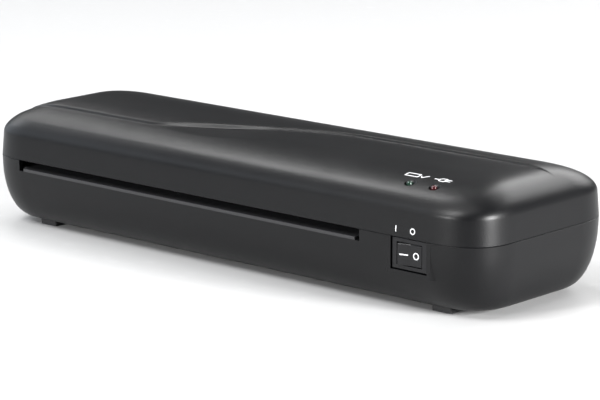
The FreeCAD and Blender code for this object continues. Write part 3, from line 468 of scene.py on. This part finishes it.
def smooth_step(value):
    """0 below 0, 1 above 1, and three squares less two cubes between."""
    v = np.clip(value, 0.0, 1.0)
    return v * v * (3 - 2 * v)


def soft_line(points, count=900, passes=90):
    """The points joined, sampled evenly in x and averaged with their neighbours until smooth."""
    x, y = np.array(points).T
    even = np.linspace(x[0], x[-1], count)
    line = np.interp(even, x, y)
    for _ in range(passes):
        line[1:-1] = (line[:-2] + 2 * line[1:-1] + line[2:]) / 4
    return even, line


line_x, foot_y = soft_line(foot_points)
scoop_y = soft_line(scoop_points)[1]
line_stretch = np.sqrt(1 + np.gradient(foot_y, line_x) ** 2)


def step_slope_width(x):
    """The step's slope measured along y: its width over the cosine of the S's direction."""
    return step_width * np.interp(x, line_x, line_stretch)


def lower_roof(x, y):
    """Height in front of the step: the plain form less a drop that dies out down the shoulder."""
    v = level_at(x, y, 0.0)
    up_shoulder = np.clip((v - step_level_low) / (1 - step_level_low), 0.0, 1.0)
    end = 1 - smooth_step((x - step_end_fade[0]) / (step_end_fade[1] - step_end_fade[0]))
    return shoulder_level(v)[2] - step_drop * end * np.sin(up_shoulder * math.pi / 2)


def stepped_roof(x, y):
    """Height of the top: behind the step the plain form, in front of it the lower roof.

    The scoop is a plane that leaves the lower roof at the scoop's front line and rises gently to the
    step's foot, so it takes off whatever of the lower roof stands above it.
    """
    plain = shoulder_level(level_at(x, y, 0.0))[2]
    lower = lower_roof(x, y)
    edge_y = np.interp(x[0], line_x, scoop_y)
    edge_z = lower_roof(x[0], edge_y)
    above = lower - (edge_z + scoop_rise * (y - edge_y))
    scoop = np.where(y > edge_y, (above + np.sqrt(above ** 2 + scoop_edge ** 2) - scoop_edge) / 2, 0.0)
    fade = 1 - smooth_step((x - scoop_fade[0]) / (scoop_fade[1] - scoop_fade[0]))
    foot = np.interp(x, line_x, foot_y)
    behind = smooth_step((y - foot) / step_slope_width(x))
    rise = smooth_step((x - scoop_start[0]) / (scoop_start[1] - scoop_start[0]))
    front = lower - scoop * fade * rise
    return front + (plain - front) * behind


# %% Rows and columns
ring_top = 0.34
columns_middle, columns_corner = 220, 18
rows_front, rows_step, rows_rear = 36, 9, 38
skirt_rows, ring_rows = 4, 12
edge_margin = 0.002
tau = np.linspace(0, 1, columns_corner + 1)
middle = np.linspace(-1, 1, columns_middle + 1)[1:-1]


def long_side(inset_x, inset_y):
    """The front run of a level from its left end to its right end: corner, straight, corner."""
    corner_x, corner_y = corner_point(tau, inset_x, inset_y)
    straight = half_x - inset_x - (corner_reach - corner_loss * inset_x)
    x = np.concatenate([-corner_x[::-1], middle * straight, corner_x])
    y = -np.concatenate([corner_y[::-1], np.full(len(middle), half_y - inset_y), corner_y])
    return x, y


def top_plan(inset):
    """Plan of the top inside the ring, rows by columns, with rows kept for the step's slope."""
    inset_x, inset_y, _height = shoulder_level(ring_top, inset)
    x, edge = long_side(float(inset_x), float(inset_y))
    foot = np.clip(np.interp(x, line_x, foot_y), edge + edge_margin, -edge - 2 * edge_margin)
    head = foot + np.minimum(step_slope_width(x), edge_margin)
    front_share = np.linspace(0, 1, rows_front + 1)[:, None]
    step_share = np.linspace(0, 1, rows_step + 1)[1:, None]
    rear_share = np.linspace(0, 1, rows_rear + 1)[1:, None]
    y = np.concatenate([edge + (foot - edge) * front_share, foot + (head - foot) * step_share,
                        head + (-edge - head) * rear_share])
    return np.broadcast_to(x, y.shape).copy(), y


def ring_levels(inset, lower):
    """Levels from the seam up to the ring's top: the bevel, the drafted skirt, the lower shoulder."""
    shoulder = shoulder_height - lower
    heights = np.linspace(seam_height + seam_bevel, shoulder, skirt_rows + 1)[:-1]
    rows = []
    for z in [seam_height, *heights]:
        low = inset + draft + side_slope * (z - shoulder)
        rows.append((low, low, z))
    if inset == 0:
        rows[0] = (seam_bevel, seam_bevel, seam_height)
    for v in np.linspace(0, ring_top, ring_rows + 1):
        inset_x, inset_y, z = shoulder_level(v, inset)
        rows.append((float(inset_x), float(inset_y), float(z) - lower))
    return rows


# %% One skin of the cover
def cover_skin_points(inset, lower, height):
    """Points and faces of one skin: the ring of levels, closed by the top's grid.

    Going round a level: the front run, the right end's rows, the rear run backwards and the left
    end's rows backwards. The top grid's rim has the same count, and is the ring's last level.
    """
    x, y = top_plan(inset)
    z = height(x, y)
    rows, columns = x.shape
    end_share = (y[1:-1, -1] - y[0, -1]) / (y[-1, -1] - y[0, -1])
    left_share = (y[1:-1, 0] - y[0, 0]) / (y[-1, 0] - y[0, 0])
    rings = []
    for inset_x, inset_y, level_z in ring_levels(inset, lower)[:-1]:
        front_x, front_y = long_side(inset_x, inset_y)
        end_x = np.full(rows - 2, front_x[-1])
        right_y = front_y[-1] * (1 - 2 * end_share)
        left_y = front_y[0] * (1 - 2 * left_share)
        ring_x = np.concatenate([front_x, end_x, front_x[::-1], -end_x])
        ring_y = np.concatenate([front_y, right_y, -front_y[::-1], left_y[::-1]])
        rings.append(np.column_stack([ring_x, ring_y, np.full(len(ring_x), level_z)]))
    around = len(rings[0])
    points = np.concatenate(rings + [np.column_stack([x.ravel(), y.ravel(), z.ravel()])])
    top = around * len(rings) + np.arange(rows * columns).reshape(rows, columns)
    rim = np.concatenate([top[0], top[1:-1, -1], top[-1, ::-1], top[1:-1, 0][::-1]])
    loops = [np.arange(k * around, (k + 1) * around) for k in range(len(rings))] + [rim]
    faces = [np.column_stack([a, np.roll(a, -1), np.roll(b, -1), b]) for a, b in zip(loops, loops[1:])]
    faces.append(np.column_stack([top[:-1, :-1].ravel(), top[:-1, 1:].ravel(), top[1:, 1:].ravel(),
                                  top[1:, :-1].ravel()]))
    return points, np.concatenate(faces), loops[0]


def inner_roof(x, y):
    """Height of the plain inner skin, a roof's thickness below."""
    return shoulder_level(level_at(x, y, cover_wall), cover_wall)[2] - cover_roof


# %% Helper: a mesh piece from arrays
def add_piece(name, points, faces, material, body, slot, sharp=35.0):
    """A mesh object from arrays, smooth but for edges sharper than the angle, riding on a body."""
    mesh = bpy.data.meshes.new(name)
    mesh.from_pydata(points.tolist(), [], faces.tolist() if hasattr(faces, "tolist") else faces)
    mesh.update()
    mesh.shade_smooth()
    mesh.set_sharp_from_angle(angle=math.radians(sharp))
    piece = bpy.data.objects.new(name, mesh)
    bpy.context.scene.collection.objects.link(piece)
    mesh.materials.append(material)
    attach(piece, body)
    return piece


# %% Both skins, joined at the seam
outer, outer_faces, outer_loop = cover_skin_points(0.0, 0.0, stepped_roof)
inner, inner_faces, inner_loop = cover_skin_points(cover_wall, cover_roof, inner_roof)
inner_loop = inner_loop + len(outer)
lip = np.column_stack([np.roll(outer_loop, -1), outer_loop, inner_loop, np.roll(inner_loop, -1)])
cover_points = np.concatenate([outer, inner])
cover_faces = np.concatenate([outer_faces, inner_faces[:, ::-1] + len(outer), lip])
cover = add_piece("cover_skin", cover_points, cover_faces, finishes["black_abs"], "case", "black_abs")
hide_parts("top_cover")
print("cover:", len(cover_points), "points,", len(cover_faces), "faces")
print("cover top at", round(outer[:, 2].max() / MM, 2), "mm")


# %% [markdown]
# ### Holes for the two lamps
# Each lamp looks out of a small funnel. The funnel is turned as a profile round the lamp's axis and
# taken out of the shell with a Boolean, which is then applied, so that the cutter can go.

# %% Lamp funnels
lamp_places = {node: np.array(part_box(node)) for node in ("led_ready", "led_power")}
hole_radius, funnel_radius, funnel_depth = 0.0023, 0.0039, 0.0016
lamp_proud = 0.0006
around_hole = 48


def turned(profile, centre_x, centre_y, count):
    """A profile of (radius, height) pairs turned round an upright axis, with flat ends."""
    turn = np.linspace(0, 2 * math.pi, count, endpoint=False)
    radius, height = np.array(profile).T
    x = centre_x + radius[:, None] * np.cos(turn)
    y = centre_y + radius[:, None] * np.sin(turn)
    points = np.column_stack([x.ravel(), y.ravel(), np.repeat(height, count)])
    index = np.arange(len(profile) * count).reshape(len(profile), count)
    ahead = np.roll(index, -1, axis=1)
    faces = np.stack([index[:-1], ahead[:-1], ahead[1:], index[1:]], -1).reshape(-1, 4).tolist()
    faces += [index[0, ::-1].tolist(), index[-1].tolist()]
    return points, faces


def cut_from(piece, cutters):
    """Takes each cutter out of the piece and leaves a plain mesh."""
    scratch = []
    for points, faces in cutters:
        mesh = bpy.data.meshes.new("cutter")
        mesh.from_pydata(points.tolist(), [], faces)
        cutter = bpy.data.objects.new("cutter", mesh)
        bpy.context.scene.collection.objects.link(cutter)
        cut = piece.modifiers.new("cut", "BOOLEAN")
        cut.object = cutter
        cut.solver = "EXACT"
        scratch.append(cutter)
    graph = bpy.context.evaluated_depsgraph_get()
    mesh = bpy.data.meshes.new_from_object(piece.evaluated_get(graph))
    piece.modifiers.clear()
    piece.data = mesh
    for cutter in scratch:
        bpy.data.objects.remove(cutter)
    mesh.set_sharp_from_angle(angle=math.radians(35))


funnels = []
for low, high in lamp_places.values():
    x, y = (low[0] + high[0]) / 2, (low[1] + high[1]) / 2
    rim = high[2] - lamp_proud
    profile = [(hole_radius, rim - 0.008), (hole_radius, rim - funnel_depth), (funnel_radius, rim + 0.00096),
               (funnel_radius, rim + 0.006)]
    funnels.append(turned(profile, x, y, around_hole))
cut_from(cover, funnels)
print("lamp funnels:", len(funnels), "cover faces now", len(cover.data.polygons))


# %% [markdown]
# ### Posts under the roof
# The cover hangs on six posts: four take the long screws that come up through the base, two carry
# the lamps' board. Each is turned as one profile, up the screw hole and down again outside, and its
# top is then lifted point by point onto the roof's inner face, which curves down towards the edges.

# %% Posts with their screw holes
screw_hole, post_around, post_sunk = 0.00152, 40, 0.0004
case_post, board_post, case_post_foot = 0.004, 0.003, 0.034
hole_spare = 0.0005


def hollow_post(x, y, radius, foot, hole_top):
    """A post with a blind hole from below, its top 0.4 mm deep in the roof all round."""
    profile = [(screw_hole, hole_top), (screw_hole, foot), (radius, foot), (radius, foot + MM)]
    points, faces = turned(profile, x, y, post_around)
    rim_x, rim_y = points[None, -post_around:, 0], points[None, -post_around:, 1]
    points[-post_around:, 2] = inner_roof(rim_x, rim_y)[0] + post_sunk
    return points, faces


def joined(parts):
    """Several (points, faces) pairs as one."""
    starts = np.cumsum([0] + [len(points) for points, _ in parts])
    faces = [[corner + start for corner in face] for (_, run), start in zip(parts, starts) for face in run]
    return np.concatenate([points for points, _ in parts]), faces


case_screw_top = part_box("case_screws")[1][2]
board_low, board_high = np.array(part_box("led_board_screws"))
board_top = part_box("led_board")[1][2]
head = (board_high[1] - board_low[1]) / 2
case_x, case_y = 151 * MM, 27 * MM
posts = [hollow_post(sx * case_x, sy * case_y, case_post, case_post_foot, case_screw_top + hole_spare)
         for sx in (-1, 1) for sy in (-1, 1)]
posts += [hollow_post(x, board_low[1] + head, board_post, board_top, board_high[2] + hole_spare)
          for x in (board_low[0] + head, board_high[0] - head)]
add_piece("cover_posts", *joined(posts), finishes["black_abs"], "case", "black_abs")
print("posts:", len(posts), "screw tops at", round(case_screw_top / MM, 2), round(board_high[2] / MM, 2))


# %% [markdown]
# ## Printed marks
# White pad-printed signs tell the user what the lamps and the switch mean. They could be painted by
# a mask in the plastic's material, but the edges would blur and the exported mesh would lose them,
# so each is a thin ribbon of ink laid on the surface. The signs are the common ones that anyone may
# use: a ring and a bar for off and on, a film with a tick for ready, a plug for power.

# %% White ink and the table's paper
ink = make_finish("white_ink", grain_group, (0.80, 0.81, 0.82), (0.86, 0.87, 0.88),
                  0.50, 0.08, 0.05, 0.00002, grain=2500.0)
paper = make_finish("pale_table", grain_group, (0.52, 0.52, 0.52), (0.54, 0.54, 0.54),
                    0.70, 0.05, 0.02, 0.0001, grain=40.0)
table.data.materials.append(paper)

# %% Strokes as ribbons
ink_proud, ink_sunk, stroke_step = 0.05 * MM, 0.05 * MM, 0.35 * MM


def unit(rows):
    """Each row over its own length."""
    return rows / np.linalg.norm(rows, axis=1, keepdims=True)


def dense(line, closed):
    """The line's runs divided into short steps, so that it follows a curved surface."""
    line = np.array(line, float) * MM
    ends = np.vstack([line, line[:1]]) if closed else line
    reach = np.concatenate([[0.0], np.cumsum(np.linalg.norm(np.diff(ends, axis=0), axis=1))])
    marks = np.union1d(reach, np.arange(0, reach[-1], stroke_step))
    marks = marks[np.concatenate([[True], np.diff(marks) > 1e-6])]
    marks = marks[:-1] if closed else marks
    return np.column_stack([np.interp(marks, reach, ends[:, 0]), np.interp(marks, reach, ends[:, 1])])


def stroke_edges(line, half, closed):
    """Both edges of a stroke: each point moved along the mean normal of the runs that meet there.

    The move is the half width over the cosine between that mean and one run's own normal, so the
    stroke keeps its width through a corner.
    """
    ahead = np.roll(line, -1, axis=0) - line
    behind = np.roll(ahead, 1, axis=0)
    if not closed:
        ahead[-1], behind[0] = ahead[-2], ahead[0]
    behind, mean = unit(behind), unit(unit(ahead) + unit(behind))
    normal = np.column_stack([-mean[:, 1], mean[:, 0]])
    share = normal[:, 0] * -behind[:, 1] + normal[:, 1] * behind[:, 0]
    move = normal * (half / share)[:, None]
    return line + move, line - move


def ribbon(line, closed, half, place):
    """A closed ribbon of ink: four edges, left high, left low, right low, right high."""
    left, right = stroke_edges(dense(line, closed), half, closed)
    edges = [place(*side.T, lift) for side, lift in
             ((left, ink_proud), (left, -ink_sunk), (right, -ink_sunk), (right, ink_proud))]
    points = np.stack(edges, axis=1)
    index = np.arange(points.shape[0] * 4).reshape(-1, 4)
    a, b = (index, np.roll(index, -1, axis=0)) if closed else (index[:-1], index[1:])
    quads = np.stack([a, b, np.roll(b, -1, axis=1), np.roll(a, -1, axis=1)], -1).reshape(-1, 4).tolist()
    if not closed:
        quads += [index[0].tolist(), index[-1, ::-1].tolist()]
    return points.reshape(-1, 3), quads


def arc(radius, begin, sweep, centre=(0.0, 0.0), count=40):
    """Points of an arc in millimetres, angles in degrees from the right, anticlockwise."""
    turn = np.radians(begin + sweep * np.linspace(0, 1, count))
    return np.column_stack([centre[0] + radius * np.cos(turn), centre[1] + radius * np.sin(turn)])


def ring(radius, centre=(0.0, 0.0)):
    """A closed circle, without its last point."""
    return arc(radius, 0, 360, centre)[:-1]


def print_mark(name, strokes, place, body, width):
    """One piece of ink from (line, closed) strokes of the given width in millimetres."""
    parts = [ribbon(line, closed, width * MM / 2, place) for line, closed in strokes]
    return add_piece(name, *joined(parts), ink, body, "white_plastic")


# %% Surfaces to print on
def on_roof(centre_x, centre_y):
    """Right is +X, up is +Y, on the stepped roof."""
    def place(u, v, lift):
        x, y = centre_x * MM + u, centre_y * MM + v
        return np.column_stack([x, y, stepped_roof(x[None], y[None])[0] + lift])
    return place


def on_skirt(centre_x, centre_z):
    """Right is +X, up is +Z, on the drafted front: the inset grows evenly from the seam up."""
    def place(u, v, lift):
        z = centre_z * MM + v
        y = draft + side_slope * (z - shoulder_height) - half_y - lift
        return np.column_stack([centre_x * MM + u, y, z])
    return place


def on_face(start, end, centre_z):
    """Right runs from start to end in plan, up is +Z, on a flat upright face; centred between them."""
    start, end = np.array(start) * MM, np.array(end) * MM
    along = (end - start) / np.linalg.norm(end - start)

    def place(u, v, lift):
        plan = (start + end) / 2 + u[:, None] * along + lift * np.array([along[1], -along[0]])
        return np.column_stack([plan, centre_z * MM + v])
    return place


# %% Signs beside the lamps and on the switch
sign_y = -30.35
film = [(-6.0, -1.6), (1.4, -1.6), (1.4, 1.6), (-6.0, 1.6)]
tick = [(2.7, 0.1), (4.0, -1.5), (6.4, 1.6)]
print_mark("mark_ready", [(film, True), (tick, False)], on_roof(109.8, sign_y), "case", 0.55)
lead = [(-4.0, 0.0), (-1.0, 0.0)]
plug = [(2.4, 1.6), (0.4, 1.6), *arc(1.6, 90, 180, (0.4, 0.0), 16)[1:-1], (0.4, -1.6), (2.4, -1.6)]
pins = [[(2.6, v), (5.6, v)] for v in (-0.8, 0.8)]
print_mark("mark_power", [(lead, False), (plug, True)] + [(pin, False) for pin in pins],
           on_roof(124.5, sign_y), "case", 0.55)
rocker_z, legend_z = 28.45, 40.0
print_mark("mark_on", [([(0, -1.4), (0, 1.4)], False)], on_skirt(116.6, legend_z), "case", 0.55)
print_mark("mark_off", [(ring(1.25), True)], on_skirt(126.6, legend_z), "case", 0.50)
print_mark("rocker_bar", [([(-2.2, 0), (2.2, 0)], False)],
           on_face((118.6, -55.22), (125.11, -53.356), rocker_z), "rocker", 0.62)
print_mark("rocker_ring", [(ring(1.45), True)],
           on_face((126.2, -53.356), (130.8, -53.356), rocker_z), "rocker", 0.52)
